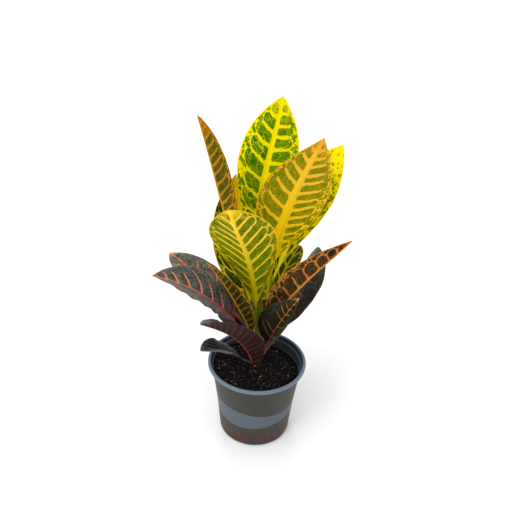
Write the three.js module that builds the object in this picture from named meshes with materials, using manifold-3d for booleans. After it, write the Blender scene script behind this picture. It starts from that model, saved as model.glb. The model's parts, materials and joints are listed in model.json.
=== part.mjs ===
// A croton in a nursery pot: broad painted-looking leaves in a spiral up one upright stem,
// rooted in a round plastic grow pot full of potting soil. Millimetres, +Z up. The origin is the
// centre of the pot's underside, and the plant's front is towards -Y.
import * as THREE from 'three';
import { mergeVertices } from 'three/addons/utils/BufferGeometryUtils.js';
import Module from 'manifold-3d';

const wasm = await Module();
wasm.setup();

const DEGREE = Math.PI / 180;
const CLEARANCE = 0.3;

// sides of a wide and of a small round piece
const ROUND_SIDES = 48;
const SMALL_SIDES = 16;

// the pot
const RIM_RADIUS = 60;
const POT_HEIGHT = 104;
const LIP_DEPTH = 5.6;
const LIP_WIDTH = 4.7;
const LIP_TOP_WIDTH = 2.7;
const LIP_CORNER = 1.1;
const NECK_RADIUS = 55;
const KNEE_RADIUS = 48;
const KNEE_Z = 48;
const FOOT_RADIUS = 44;
const FOOT_CORNER = 4;
const NECK_Z = POT_HEIGHT - LIP_DEPTH;
const WALL = 1.35;
const FLOOR = 1.6;
const DRAIN_COUNT = 8;
const DRAIN_RADIUS = 3.5;
const DRAIN_CIRCLE = 27;

// the soil and the stem in it
const SOIL_Z = 96;
const SOIL_EDGE_Z = 90.5;
const SOIL_SLOPE = 5.5;
const SOIL_LOW_SIDE = 25;
const ROOT_DEPTH = 36;
const STEM_HEIGHT = 112;
const TIP_LENGTH = 26;

// what all leaves share
const CURVE_STEPS = 72;
const HEEL_LENGTH = 16;
const HEEL_LEAN = 75;
const HEEL_OFFSET = 0.62;
const PETIOLE_RADIUS = 1.5;
const MIDRIB_THICKNESS = 1.6;
const BLADE_THICKNESS = 0.9;
const MARGIN_THICKNESS = 0.7;
const FOLD_LENGTH = 0.14;
const PETIOLE_SECTIONS = [0, 0.3, 0.7];
const BLADE_SECTIONS = [0, 0.06, 0.14, 0.24, 0.35, 0.46, 0.57, 0.68, 0.78, 0.87, 0.94, 1];
const ACROSS = [-1, -0.5, 0, 0.5, 1];

const PLASTIC = { color: 0x7d8896, roughness: 0.45 };
const SOIL = { color: 0x2a201b, roughness: 0.95 };
const BARK = { color: 0x6b6a45, roughness: 0.8 };
const YELLOW_LEAF = { color: 0xa8b41e, roughness: 0.4 };
const OLIVE_LEAF = { color: 0x7c6a24, roughness: 0.4 };
const DARK_LEAF = { color: 0x2f3f38, roughness: 0.38 };

// Each leaf grows from the stem at a height above the soil, towards a compass angle seen from
// above (0 is +X, 90 is +Y, away from the front). It starts out at "lean" degrees from upright,
// bends over by "arch" more by its tip, turns sideways by "sweep", and is rolled about its own
// midrib by "roll", with "twist" more at the tip. "hook" bends the last third. The two halves
// of the blade are folded up by "fold" degrees. "full" and "end" shape the outline: larger
// numbers narrow the blade towards its base and towards its tip.
const LEAVES = [
  {
    name: 'leaf_front_burgundy',
    look: DARK_LEAF,
    height: 6, azimuth: -110, lean: 24, arch: 39, hook: -4,
    sweep: -42, roll: 15, twist: -48, petiole: 6, blade: 133,
    width: 56, fold: 27, full: 0.87, end: 0.69,
  },
  {
    name: 'leaf_left_lowest',
    look: DARK_LEAF,
    height: 6, azimuth: -149, lean: 46, arch: 21, hook: 36,
    sweep: -6, roll: -11, twist: 5, petiole: 14, blade: 67,
    width: 40, fold: 17, full: 1.02, end: 0.74,
  },
  {
    name: 'leaf_back_right',
    look: DARK_LEAF,
    height: 16, azimuth: 72, lean: 60, arch: 32, hook: 0,
    sweep: 0, roll: 0, twist: 0, petiole: 16, blade: 84,
    width: 44, fold: 12, full: 0.9, end: 0.75,
  },
  {
    name: 'leaf_right_small',
    look: DARK_LEAF,
    height: 20, azimuth: -52, lean: 19, arch: 14, hook: -4,
    sweep: 13, roll: -72, twist: -14, petiole: 23, blade: 102,
    width: 49, fold: 42, full: 0.86, end: 0.89,
  },
  {
    name: 'leaf_left_short',
    look: DARK_LEAF,
    height: 32, azimuth: 147, lean: 60, arch: 32, hook: 3,
    sweep: -13, roll: -15, twist: -2, petiole: 14, blade: 42,
    width: 46, fold: 15, full: 0.93, end: 0.74,
  },
  {
    name: 'leaf_right_dark',
    look: DARK_LEAF,
    height: 33, azimuth: 30, lean: 34, arch: -2, hook: -23,
    sweep: -4, roll: 14, twist: -4, petiole: 21, blade: 115,
    width: 65, fold: -7, full: 0.65, end: 0.49,
  },
  {
    name: 'leaf_back_left',
    look: DARK_LEAF,
    height: 34, azimuth: 114, lean: 58, arch: 30, hook: 0,
    sweep: 0, roll: 0, twist: 0, petiole: 18, blade: 90,
    width: 48, fold: 12, full: 0.9, end: 0.75,
  },
  {
    name: 'leaf_left_long',
    look: DARK_LEAF,
    height: 38, azimuth: -175, lean: 32, arch: 45, hook: -1,
    sweep: 3, roll: 19, twist: -19, petiole: 34, blade: 119,
    width: 62, fold: 19, full: 1.16, end: 0.97,
  },
  {
    name: 'leaf_left_behind',
    look: DARK_LEAF,
    height: 45, azimuth: 152, lean: 52, arch: 30, hook: -2,
    sweep: -11, roll: 0, twist: -3, petiole: 24, blade: 124,
    width: 55, fold: 12, full: 0.89, end: 0.78,
  },
  {
    name: 'leaf_back_middle',
    look: DARK_LEAF,
    height: 50, azimuth: 80, lean: 48, arch: 19, hook: 0,
    sweep: 2, roll: 5, twist: 2, petiole: 20, blade: 105,
    width: 54, fold: 13, full: 0.9, end: 0.75,
  },
  {
    name: 'leaf_left_orange',
    look: OLIVE_LEAF,
    height: 52, azimuth: -134, lean: 25, arch: 7, hook: 5,
    sweep: -8, roll: 14, twist: -21, petiole: 11, blade: 131,
    width: 44, fold: 22, full: 0.69, end: 0.9,
  },
  {
    name: 'leaf_back_upper',
    look: OLIVE_LEAF,
    height: 60, azimuth: 99, lean: 35, arch: 14, hook: 0,
    sweep: 1, roll: -3, twist: -1, petiole: 20, blade: 105,
    width: 54, fold: 11, full: 0.9, end: 0.75,
  },
  {
    name: 'leaf_right_orange',
    look: OLIVE_LEAF,
    height: 62, azimuth: -40, lean: 29, arch: 11, hook: -6,
    sweep: 10, roll: 7, twist: 8, petiole: 16, blade: 170,
    width: 57, fold: 35, full: 0.79, end: 0.88,
  },
  {
    name: 'leaf_left_inner',
    look: YELLOW_LEAF,
    height: 69, azimuth: 137, lean: 29, arch: -34, hook: -32,
    sweep: 2, roll: -6, twist: -15, petiole: 17, blade: 168,
    width: 73, fold: -2, full: 1.04, end: 0.9,
  },
  {
    name: 'leaf_front_blunt',
    look: YELLOW_LEAF,
    height: 72, azimuth: -104, lean: 15, arch: 30, hook: -25,
    sweep: -13, roll: -6, twist: -23, petiole: 32, blade: 173,
    width: 72, fold: 22, full: 1.32, end: 0.81,
  },
  {
    name: 'leaf_right_inner',
    look: YELLOW_LEAF,
    height: 72, azimuth: 45, lean: 28, arch: 24, hook: -1,
    sweep: 6, roll: 20, twist: 6, petiole: 18, blade: 77,
    width: 41, fold: 0, full: 1.0, end: 0.53,
  },
  {
    name: 'leaf_tall_left',
    look: OLIVE_LEAF,
    height: 78, azimuth: 171, lean: 15, arch: -2, hook: 3,
    sweep: 20, roll: -10, twist: 0, petiole: 28, blade: 219,
    width: 44, fold: 45, full: 1.49, end: 0.75,
  },
  {
    name: 'leaf_tall_back',
    look: YELLOW_LEAF,
    height: 97, azimuth: 114, lean: 20, arch: -1, hook: -12,
    sweep: -86, roll: -21, twist: -12, petiole: 29, blade: 204,
    width: 67, fold: 7, full: 1.64, end: 0.89,
  },
  {
    name: 'leaf_tall_far_right',
    look: YELLOW_LEAF,
    height: 97, azimuth: 45, lean: 28, arch: 2, hook: 12,
    sweep: -15, roll: -23, twist: 27, petiole: 26, blade: 172,
    width: 63, fold: 1, full: 1.97, end: 0.88,
  },
  {
    name: 'leaf_tall_right',
    look: YELLOW_LEAF,
    height: 100, azimuth: -37, lean: 3, arch: 29, hook: -10,
    sweep: 42, roll: 64, twist: 1, petiole: 51, blade: 162,
    width: 76, fold: 0, full: 1.46, end: 1.07,
  },
];

// Radius of the stem at a height above the soil.
function stemRadius(height) {
  const heights = [-30, 0, 60, 120];
  const radii = [5.5, 5.5, 4.6, 3.2];
  if (height <= heights[0]) {
    return radii[0];
  }
  for (let i = 1; i < heights.length; i++) {
    if (height <= heights[i]) {
      const share = (height - heights[i - 1]) / (heights[i] - heights[i - 1]);
      return radii[i - 1] + share * (radii[i] - radii[i - 1]);
    }
  }
  return radii[radii.length - 1];
}

// Share of the full half-width at a place along the blade, 0 at both ends and 1 at the widest.
function outline(along, full, end) {
  const widest = full / (full + end);
  return (along / widest) ** full * ((1 - along) / (1 - widest)) ** end;
}

// Directions of the midrib at a share of its length: along it, to its side and out of its face.
function midribFrame(leaf, share) {
  const length = leaf.petiole + leaf.blade;
  const heel = Math.max(0, 1 - (share * length) / HEEL_LENGTH) ** 2;
  const late = Math.max(0, (share - 0.7) / 0.3) ** 1.5;
  const bend = leaf.lean + leaf.arch * share ** 1.5 + leaf.hook * late;
  const lean = (bend + (HEEL_LEAN - leaf.lean) * heel) * DEGREE;
  const turn = (leaf.azimuth + leaf.sweep * share) * DEGREE;
  const along = new THREE.Vector3(
    Math.sin(lean) * Math.cos(turn),
    Math.sin(lean) * Math.sin(turn),
    Math.cos(lean),
  );
  const side = new THREE.Vector3(Math.sin(turn), -Math.cos(turn), 0);
  const roll = (leaf.roll + leaf.twist * share) * DEGREE;
  side.applyAxisAngle(along, -roll);
  const face = new THREE.Vector3().crossVectors(side, along);
  return { along, side, face };
}

// The midrib as a list of points with their frames, from the stem out to the leaf's tip.
function midribCurve(leaf) {
  const start = stemRadius(leaf.height) + HEEL_OFFSET;
  const turn = leaf.azimuth * DEGREE;
  const point = new THREE.Vector3(
    start * Math.cos(turn),
    start * Math.sin(turn),
    SOIL_Z + leaf.height,
  );
  const step = (leaf.petiole + leaf.blade) / CURVE_STEPS;
  const stations = [{ point, ...midribFrame(leaf, 0) }];
  for (let i = 1; i <= CURVE_STEPS; i++) {
    const last = stations[i - 1];
    const frame = midribFrame(leaf, i / CURVE_STEPS);
    const next = last.point.clone();
    next.addScaledVector(last.along, step / 2).addScaledVector(frame.along, step / 2);
    stations.push({ point: next, ...frame });
  }
  return stations;
}

// The place on the midrib at a share of its length, between the two stations around it.
function placeOnMidrib(stations, share) {
  const at = Math.min(share * CURVE_STEPS, CURVE_STEPS - 1e-6);
  const index = Math.floor(at);
  const rest = at - index;
  const [from, to] = [stations[index], stations[index + 1]];
  return {
    point: from.point.clone().lerp(to.point, rest),
    side: from.side.clone().lerp(to.side, rest).normalize(),
    face: from.face.clone().lerp(to.face, rest).normalize(),
  };
}

// One closed ring of points around the leaf: five along its upper face, five back underneath.
function leafRing(leaf, stations, share) {
  const length = leaf.petiole + leaf.blade;
  const along = Math.max(0, (share * length - leaf.petiole) / leaf.blade);
  const opening = THREE.MathUtils.smoothstep(along, 0, FOLD_LENGTH);
  const stalk = PETIOLE_RADIUS * (1 - 0.6 * along);
  const halfWidth = Math.max(stalk, (leaf.width / 2) * outline(along, leaf.full, leaf.end));
  const fold = leaf.fold * opening * DEGREE;
  const thicknesses = {
    0: THREE.MathUtils.lerp(2 * PETIOLE_RADIUS, MIDRIB_THICKNESS - 0.7 * along, opening),
    0.5: THREE.MathUtils.lerp(1.75 * PETIOLE_RADIUS, BLADE_THICKNESS, opening),
    1: THREE.MathUtils.lerp(0.8 * PETIOLE_RADIUS, MARGIN_THICKNESS, opening),
  };
  const place = placeOnMidrib(stations, share);
  const point = (across, up) => {
    const half = Math.sign(across);
    const reach = Math.abs(across) * halfWidth;
    const thickness = thicknesses[Math.abs(across)];
    const sideways = half * (reach * Math.cos(fold) - up * thickness * Math.sin(fold));
    const lift = reach * Math.sin(fold) + up * thickness * (half ? Math.cos(fold) : 1);
    return place.point.clone()
      .addScaledVector(place.side, sideways)
      .addScaledVector(place.face, lift);
  };
  const upper = ACROSS.map((across) => point(across, 0.4));
  const lower = ACROSS.toReversed().map((across) => point(across, -0.6));
  return [...upper, ...lower];
}

// A closed surface through a row of rings, with a fan over each end ring.
function skin(rings) {
  const positions = [];
  const faces = [];
  const count = rings[0].length;
  for (const ring of rings) {
    for (const point of ring) {
      positions.push(point.x, point.y, point.z);
    }
  }
  for (let i = 0; i + 1 < rings.length; i++) {
    for (let j = 0; j < count; j++) {
      const a = i * count + j;
      const b = i * count + ((j + 1) % count);
      faces.push(a, b, a + count);
      faces.push(b, b + count, a + count);
    }
  }
  const last = (rings.length - 1) * count;
  for (let j = 1; j + 1 < count; j++) {
    faces.push(0, j + 1, j);
    faces.push(last, last + j, last + j + 1);
  }
  const geometry = new THREE.BufferGeometry();
  geometry.setAttribute('position', new THREE.Float32BufferAttribute(positions, 3));
  geometry.setIndex(faces);
  geometry.computeVertexNormals();
  return geometry;
}

function leafGeometry(leaf) {
  const length = leaf.petiole + leaf.blade;
  const stations = midribCurve(leaf);
  const shares = [
    ...PETIOLE_SECTIONS.map((share) => (share * leaf.petiole) / length),
    ...BLADE_SECTIONS.map((share) => (leaf.petiole + share * leaf.blade) / length),
  ];
  return skin(shares.map((share) => leafRing(leaf, stations, share)));
}

// A turned solid about the upright axis, from [radius, height] pairs.
function turned(profile, sides) {
  const points = profile.map(([radius, height]) => new THREE.Vector2(radius, height));
  const geometry = new THREE.LatheGeometry(points, sides);
  geometry.rotateX(Math.PI / 2);
  return geometry;
}

function solidFrom(geometry) {
  const plain = geometry.clone();
  plain.deleteAttribute('normal');
  plain.deleteAttribute('uv');
  const merged = mergeVertices(plain, 1e-3);
  return new wasm.Manifold(new wasm.Mesh({
    numProp: 3,
    vertProperties: merged.attributes.position.array,
    triVerts: new Uint32Array(merged.index.array),
  }));
}

function geometryFrom(solid) {
  const mesh = solid.getMesh();
  const geometry = new THREE.BufferGeometry();
  geometry.setAttribute('position', new THREE.BufferAttribute(mesh.vertProperties, 3));
  geometry.setIndex(new THREE.BufferAttribute(mesh.triVerts, 1));
  geometry.computeVertexNormals();
  return geometry;
}

// Outer radius of the pot's wall at a height. It tapers less below its knee than above it.
function wallRadius(height) {
  const { mapLinear } = THREE.MathUtils;
  return height < KNEE_Z
    ? mapLinear(height, FOOT_CORNER, KNEE_Z, FOOT_RADIUS, KNEE_RADIUS)
    : mapLinear(height, KNEE_Z, NECK_Z, KNEE_RADIUS, NECK_RADIUS);
}

// The pot is one moulding: a tapering wall, a rolled lip with a step inside it for stacking,
// and a flat floor with a ring of drain holes.
function potGeometry() {
  const stepZ = NECK_Z + 1.2;
  const innerFootZ = FOOT_CORNER + 0.6;
  const body = turned([
    [0, 0],
    [FOOT_RADIUS - FOOT_CORNER, 0],
    [FOOT_RADIUS - 1.2, 1.2],
    [FOOT_RADIUS, FOOT_CORNER],
    [KNEE_RADIUS, KNEE_Z],
    [NECK_RADIUS, NECK_Z],
    [RIM_RADIUS - LIP_CORNER, NECK_Z + 0.6],
    [RIM_RADIUS, NECK_Z + 1.8],
    [RIM_RADIUS, POT_HEIGHT - LIP_CORNER],
    [RIM_RADIUS - LIP_CORNER, POT_HEIGHT],
    [RIM_RADIUS - LIP_TOP_WIDTH, POT_HEIGHT],
    [RIM_RADIUS - LIP_TOP_WIDTH - LIP_CORNER, POT_HEIGHT - 0.8],
    [RIM_RADIUS - LIP_WIDTH, POT_HEIGHT - 3.6],
    [wallRadius(stepZ) - WALL, stepZ],
    [KNEE_RADIUS - WALL, KNEE_Z],
    [wallRadius(innerFootZ) - WALL, innerFootZ],
    [FOOT_RADIUS - FOOT_CORNER + 1.2, FLOOR],
    [0, FLOOR],
  ], ROUND_SIDES);
  let pot = solidFrom(body);
  const hole = new THREE.CylinderGeometry(DRAIN_RADIUS, DRAIN_RADIUS, 4 * FLOOR, SMALL_SIDES);
  hole.rotateX(Math.PI / 2);
  for (let i = 0; i < DRAIN_COUNT; i++) {
    const turn = (i + 0.5) * (360 / DRAIN_COUNT) * DEGREE;
    const place = hole.clone();
    place.translate(DRAIN_CIRCLE * Math.cos(turn), DRAIN_CIRCLE * Math.sin(turn), FLOOR / 2);
    pot = pot.subtract(solidFrom(place));
  }
  return geometryFrom(pot);
}

// The root ball fills the pot to its wall and closes round the buried foot of the stem. Its top
// has sunk on one side, so that it meets the wall lower there than on the other.
function soilGeometry() {
  const fill = (height) => wallRadius(height) - WALL - CLEARANCE;
  const floor = FLOOR + CLEARANCE;
  const cornerZ = FOOT_CORNER + 0.9;
  const socket = stemRadius(0) + CLEARANCE;
  const socketZ = SOIL_Z - ROOT_DEPTH - CLEARANCE;
  const geometry = turned([
    [0, floor],
    [FOOT_RADIUS - FOOT_CORNER + 0.8, floor],
    [fill(cornerZ), cornerZ],
    [fill(KNEE_Z), KNEE_Z],
    [fill(SOIL_EDGE_Z), SOIL_EDGE_Z],
    [0.62 * NECK_RADIUS, SOIL_Z - 2],
    [0.3 * NECK_RADIUS, SOIL_Z - 0.5],
    [socket, SOIL_Z],
    [socket, socketZ],
    [0, socketZ],
  ], ROUND_SIDES);
  const edge = fill(SOIL_EDGE_Z);
  const points = geometry.attributes.position;
  const point = new THREE.Vector3();
  for (let i = 0; i < points.count; i++) {
    point.fromBufferAttribute(points, i);
    const radius = Math.hypot(point.x, point.y);
    const onTop = point.z > SOIL_EDGE_Z - CLEARANCE && radius > socket + CLEARANCE;
    if (onTop) {
      const turn = Math.atan2(point.y, point.x) - SOIL_LOW_SIDE * DEGREE;
      const height = point.z - SOIL_SLOPE * Math.cos(turn) * (radius / edge) ** 2;
      const atWall = radius > edge - CLEARANCE;
      const spread = atWall ? fill(height) / radius : 1;
      points.setXYZ(i, point.x * spread, point.y * spread, height);
    }
  }
  geometry.computeVertexNormals();
  return geometry;
}

// The stem stands in the soil and thins upwards from node to node.
function stemGeometry() {
  const rootZ = SOIL_Z - ROOT_DEPTH;
  const heights = [0, 30, 60, 88, STEM_HEIGHT - 2];
  return turned([
    [0, rootZ],
    [stemRadius(0) - 1.5, rootZ],
    [stemRadius(0), rootZ + 5],
    ...heights.map((height) => [stemRadius(height), SOIL_Z + height]),
    [stemRadius(STEM_HEIGHT) - 0.6, SOIL_Z + STEM_HEIGHT],
    [0, SOIL_Z + STEM_HEIGHT],
  ], SMALL_SIDES);
}

// The growing tip is a furled young leaf that stands on the end of the stem.
function growingTipGeometry() {
  const foot = SOIL_Z + STEM_HEIGHT + CLEARANCE;
  return turned([
    [0, foot],
    [1.6, foot],
    [2.4, foot + 0.25 * TIP_LENGTH],
    [2, foot + 0.6 * TIP_LENGTH],
    [1, foot + 0.88 * TIP_LENGTH],
    [0, foot + TIP_LENGTH],
  ], SMALL_SIDES);
}

function piece(name, geometry, look) {
  const material = new THREE.MeshStandardMaterial({ ...look, metalness: 0 });
  const mesh = new THREE.Mesh(geometry, material);
  mesh.name = name;
  return mesh;
}

const croton = new THREE.Group();
croton.add(piece('pot', potGeometry(), PLASTIC));
croton.add(piece('soil', soilGeometry(), SOIL));
croton.add(piece('stem', stemGeometry(), BARK));
croton.add(piece('growing_tip', growingTipGeometry(), YELLOW_LEAF));
for (const leaf of LEAVES) {
  croton.add(piece(leaf.name, leafGeometry(leaf), leaf.look));
}

export default croton;
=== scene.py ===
# A croton in a nursery pot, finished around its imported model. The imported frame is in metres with
# +Z up and the plant's front towards -Y. Lengths in this file are in millimetres until a mesh,
# a light or the camera is made, and colours are sRGB from 0 to 255.
import json
import math
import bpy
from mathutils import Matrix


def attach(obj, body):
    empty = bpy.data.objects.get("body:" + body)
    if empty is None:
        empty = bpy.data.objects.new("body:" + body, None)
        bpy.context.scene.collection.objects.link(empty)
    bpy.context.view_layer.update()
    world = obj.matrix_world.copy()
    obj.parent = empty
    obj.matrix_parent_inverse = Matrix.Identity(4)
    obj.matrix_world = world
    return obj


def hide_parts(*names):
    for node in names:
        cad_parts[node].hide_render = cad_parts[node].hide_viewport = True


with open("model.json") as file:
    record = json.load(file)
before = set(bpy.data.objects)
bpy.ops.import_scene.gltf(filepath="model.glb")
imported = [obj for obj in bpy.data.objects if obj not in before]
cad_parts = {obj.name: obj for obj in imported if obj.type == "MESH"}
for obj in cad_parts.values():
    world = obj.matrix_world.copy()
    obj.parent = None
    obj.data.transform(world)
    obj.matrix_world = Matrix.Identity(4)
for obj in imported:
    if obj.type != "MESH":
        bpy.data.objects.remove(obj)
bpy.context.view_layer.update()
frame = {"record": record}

from types import SimpleNamespace

import bmesh
import bpy
import numpy as np
from mathutils import Matrix, Vector, noise

MM = 0.001
FULL_TURN = 2 * math.pi

# the photograph's camera: looking down on the pot, tipped a little, with the lens in pixels
PHOTO_SIZE = 524
LENS_PIXELS = 685
CAMERA_PITCH = 31.5
CAMERA_ROLL = 2.8
CAMERA_PLACE = (0.3, -653.6, 644.2)

# the plant's middle in metres, which the lights face
LIGHTS_AIM = (0, 0, 0.18)

# the pot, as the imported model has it
RIM_RADIUS = 60
POT_HEIGHT = 104
NECK_Z = 98.4
NECK_RADIUS = 55
KNEE_Z = 48
KNEE_RADIUS = 48
FOOT_RADIUS = 44
FOOT_CORNER = 4
WALL = 1.35
FLOOR = 1.6
DRAIN_COUNT = 8
DRAIN_RADIUS = 3.5
DRAIN_CIRCLE = 27
POT_SIDES = 192
CORNER_STEPS = 5

# heights on the pot: the stacking ledges inside it and the print outside. Each edge of the
# print's band has its height, how far it swings up and down, and where the swing starts. Each
# petal of a sprig has its tilt in degrees, its length and its width.
LEDGE_HEIGHTS = (98.0, 87.6)
PRINT_LOW = 1.6
PRINT_TOP = 95.1
BAND_TOP = (56.0, 3.2, 0.17)
BAND_LOW = (35.0, 3.4, 2.27)
SPRIG_COUNT = 8
SPRIG_RADIUS = 46
SPRIG_FOOT = 4.0
SPRIG_PETALS = ((-42, 24, 8.0), (0, 25, 8.5), (42, 24, 8.0))

# the soil, which has sunk towards the compass angle of its low side
SOIL_Z = 96
SOIL_EDGE_Z = 90.5
SOIL_EDGE_RADIUS = 52.3
SOIL_MOUND = ((0, SOIL_Z), (16.5, 95.5), (34, 94), (SOIL_EDGE_RADIUS, SOIL_EDGE_Z))
SOIL_SLOPE = 5.5
SOIL_LOW_SIDE = 25
SOIL_GAP = 0.3
SOIL_SIDES = 240
SOIL_RINGS = 64
SOIL_FOOT_RADIUS = 40.4
SCATTER_RADIUS = 50.3

# the stem, as heights above the soil with the radius there, and an old leaf's pale scar
ROOT_DEPTH = 36
STEM_HEIGHT = 112
STEM_SHAPE = ((-30, 5.5), (0, 5.5), (60, 4.6), (120, 3.2))
STEM_SIDES = 64
STEM_ROWS = 260
SCAR_PLACE = (-2, -5.1, 97.4)
SCAR_SIZE = 2.4

# the growing tip, as shares of its height with the radius there
TIP_LENGTH = 26
TIP_OVERLAP = 0.6
TIP_SIDES = 40
TIP_ROWS = 60
TIP_SHAPE = ((0, 1.7), (0.25, 2.3), (0.6, 1.9), (0.88, 1.0), (1, 0.15))

# what all leaves share
CURVE_STEPS = 360
HEEL_LENGTH = 16
HEEL_LEAN = 75
HEEL_OFFSET = 0.62
STALK_ROOT = 1.0
PETIOLE_RADIUS = 1.5
FOLD_LENGTH = 0.14
PETIOLE_ROWS = 14
BLADE_ROWS = 124
HALF_COLUMNS = 22

# how a blade is quilted, cambered and thickened: its depths, and the keel under its midrib
QUILT_DEPTH = 0.55
CAMBER = 0.05
EDGE_THICKNESS = 0.34
MIDDLE_THICKNESS = 0.5
KEEL_WIDTH = 1.1
KEEL_DEPTH = 0.85
RIM_BULGE = 0.12

# the end caps of a leaf on its map
CAP_RADIUS = 0.012
CAP_PLACES = ((0.25, 0.985), (0.75, 0.985))


def leaf(name, place, bend, blade, veins, upper, under, wave=0.7):
    """One leaf's settings. The shape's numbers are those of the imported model.

    place: height above the soil, compass angle, lean from upright.
    bend: arch, hook, sweep, roll and twist, in degrees.
    blade: petiole, blade length, width, fold, and the outline's full and end.
    veins: count and angle of the laterals on the minus side, then on the plus side.
    """
    height, azimuth, lean = place
    arch, hook, sweep, roll, twist = bend
    petiole, length, width, fold, full, end = blade
    return SimpleNamespace(
        name=name, height=height, azimuth=azimuth, lean=lean, arch=arch, hook=hook,
        sweep=sweep, roll=roll, twist=twist, petiole=petiole, blade=length, width=width,
        fold=fold, full=full, end=end, veins=veins, upper=upper, under=under, wave=wave,
    )


LEAVES = [
    leaf("leaf_left_lowest", (6, -149, 46), (21, 36, -6, -11, 5),
         (14, 67, 40, 17, 1.02, 0.74), (5, 30, 5, 30), "grey_purple", "grey_purple", 1.6),
    leaf("leaf_front_burgundy", (6, -110, 24), (39, -4, -42, 15, -48),
         (6, 133, 56, 27, 0.87, 0.69), (14, 66, 14, 66), "slate_grey", "burgundy"),
    leaf("leaf_back_right", (16, 72, 60), (32, 0, 0, 0, 0),
         (16, 84, 44, 12, 0.9, 0.75), (9, 55, 9, 55), "slate_pink", "burgundy"),
    leaf("leaf_right_small", (20, -52, 19), (14, -4, 13, -72, -14),
         (23, 102, 49, 42, 0.86, 0.89), (9, 48, 9, 48), "black_orange", "black_orange"),
    leaf("leaf_right_dark", (33, 30, 34), (-2, -23, -4, 14, -4),
         (21, 115, 65, -7, 0.65, 0.49), (8, 60, 6, 92), "black_red", "burgundy"),
    leaf("leaf_left_short", (32, 147, 60), (32, 3, -13, -15, -2),
         (14, 42, 46, 15, 0.93, 0.74), (6, 55, 6, 55), "black_green", "burgundy"),
    leaf("leaf_back_left", (34, 114, 58), (30, 0, 0, 0, 0),
         (18, 90, 48, 12, 0.9, 0.75), (9, 55, 9, 55), "slate_orange", "burgundy"),
    leaf("leaf_left_long", (38, -175, 32), (45, -1, 3, 19, -19),
         (34, 119, 62, 19, 1.16, 0.97), (8, 62, 8, 62), "slate_pink", "burgundy", 2.2),
    leaf("leaf_left_behind", (45, 152, 52), (30, -2, -11, 0, -3),
         (24, 124, 55, 12, 0.89, 0.78), (8, 58, 8, 58), "slate_orange", "burgundy", 1.6),
    leaf("leaf_back_middle", (50, 80, 48), (19, 0, 2, 5, 2),
         (20, 105, 54, 13, 0.9, 0.75), (9, 55, 9, 55), "black_green", "brown_orange"),
    leaf("leaf_left_orange", (52, -134, 25), (7, 5, -8, 14, -21),
         (11, 131, 44, 22, 0.69, 0.9), (13, 55, 13, 55), "dark_gold", "brown_gold"),
    leaf("leaf_back_upper", (60, 99, 35), (14, 0, 1, -3, -1),
         (20, 105, 54, 11, 0.9, 0.75), (9, 55, 9, 55), "moss_gold", "brown_orange"),
    leaf("leaf_right_orange", (62, -40, 29), (11, -6, 10, 7, 8),
         (16, 170, 57, 35, 0.79, 0.88), (9, 62, 9, 62), "dark_gold", "brown_cells"),
    leaf("leaf_left_inner", (69, 137, 29), (-34, -32, 2, -6, -15),
         (17, 168, 73, -2, 1.04, 0.9), (8, 52, 8, 52), "deep_gold", "olive_gold", 0.2),
    leaf("leaf_front_blunt", (72, -104, 15), (30, -25, -13, -6, -23),
         (32, 173, 72, 22, 1.32, 0.81), (11, 68, 11, 62), "green_gold", "olive_lines"),
    leaf("leaf_right_inner", (72, 45, 28), (24, -1, 6, 20, 6),
         (18, 77, 41, 0, 1.0, 0.53), (5, 60, 5, 60), "moss_gold", "brown_gold"),
    leaf("leaf_tall_left", (78, 171, 15), (-2, 3, 20, -10, 0),
         (28, 219, 44, 45, 1.49, 0.75), (20, 60, 20, 60), "dark_gold", "brown_orange"),
    leaf("leaf_tall_back", (97, 114, 20), (-1, -12, -86, -21, -12),
         (29, 204, 67, 7, 1.64, 0.89), (11, 72, 14, 88), "green_gold", "olive_gold"),
    leaf("leaf_tall_far_right", (97, 45, 28), (2, 12, -15, -23, 27),
         (26, 172, 63, 1, 1.97, 0.88), (11, 66, 11, 66), "bleached", "olive_gold"),
    leaf("leaf_tall_right", (100, -37, 3), (29, -10, 42, 64, 1),
         (51, 162, 76, 0, 1.46, 1.07), (15, 84, 11, 70), "green_gold", "olive_gold"),
]

# The numbers that shape the pattern on a leaf's face. Widths and sizes are in millimetres, and
# reaches, starts and ends are shares of the half-width or of the blade's length. The laterals
# are open lines where loops is 0, and close round the cells between them where it is 1.
# The mottle is real mottling of the cells, and on the dark glossy faces a painted sheen of their
# pebbly surface.
PATTERN = dict(
    midrib_width=2.6, vein_width=0.9, vein_end=0.6, vein_reach=2.0, vein_share=1.0,
    vein_start=0.0, loops=1.0, fork=1.0, cell_end=0.72, edge_cells=1.0, edge_size=3.6,
    edge_wall=0.42, margin_width=0.8, fine_veins=0.5, spurs=0.5, bleach=2.0, flecks=0.0,
    mottle=0.3, pale_side=0.0, tip_start=0.86, base_shade=0.0, softness=0.3, relief=0.25,
    gloss=0.0,
)

COLOURS = dict(
    cell=(62, 128, 22), cell_2=(92, 142, 28), vein=(238, 222, 34), vein_tip=(242, 228, 44),
    midrib=(246, 228, 30), margin=(226, 220, 44), tip=(240, 226, 50), fleck=(150, 150, 120),
    stalk=(150, 160, 40),
)

# shine is how strongly a kind of face reflects the light around it
USUAL = {**PATTERN, **COLOURS, "shine": 0.03}
LOOKS = {}


def add_look(name, like=None, **changes):
    """A kind of leaf face that differs in some values from another, or from the usual."""
    LOOKS[name] = {**LOOKS.get(like, USUAL), **changes}


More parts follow.
